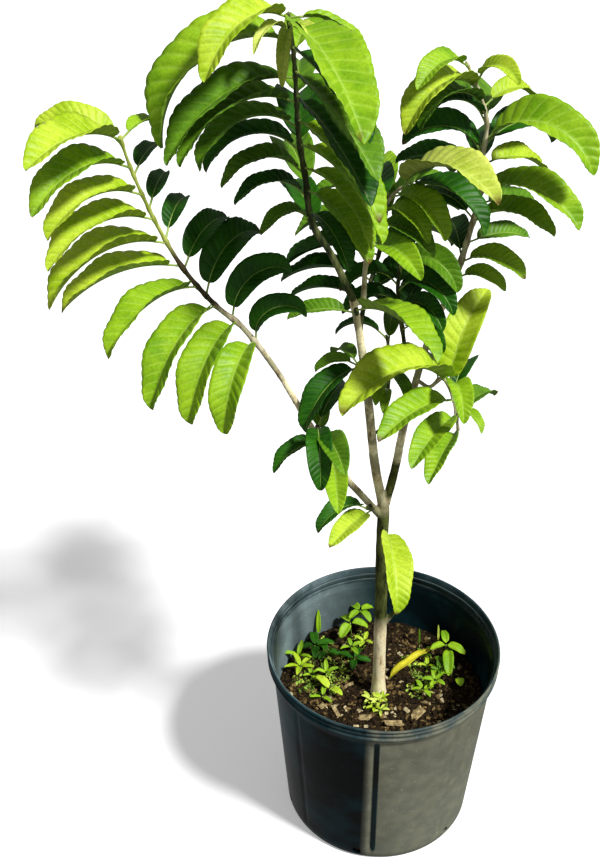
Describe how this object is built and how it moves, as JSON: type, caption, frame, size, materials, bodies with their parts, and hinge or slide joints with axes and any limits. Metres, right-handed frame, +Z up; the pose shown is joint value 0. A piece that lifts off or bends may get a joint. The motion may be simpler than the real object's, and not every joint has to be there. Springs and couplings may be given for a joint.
{
  "type": "custard apple sapling in a nursery pot",
  "caption": "Young custard apple plant with a forked trunk and leafy shoots, growing in a round black nursery pot.",
  "frame": {"origin": "centre of the pot's flat underside", "axes": "+Z up from the pot's foot to the top of the plant, +X to the right and +Y away from the side that the camera sees"},
  "size_m": [0.4908, 0.4562, 1.0533],
  "materials": {
    "pot_plastic": "dusty black plastic with a soft sheen",
    "potting_mix": "crumbly, matt",
    "bark": "rough grey-brown bark",
    "foliage": "satin leaf"
  },
  "bodies": {
    "root": {"pot": "pot_plastic", "soil": "potting_mix", "trunk": "bark", "bough_main": "bark", "bough_right": "bark", "bough_left": "bark", "mass_top": "foliage", "mass_left": "foliage", "mass_right": "foliage", "mass_centre": "foliage", "mass_core": "foliage", "mass_twig": "foliage", "mass_spur_high": "foliage", "mass_spur_low": "foliage", "mass_lower_right": "foliage", "mass_lower_left": "foliage", "mass_fork_left": "foliage", "mass_fork_right": "foliage", "mass_back": "foliage"}
  },
  "joints": []
}
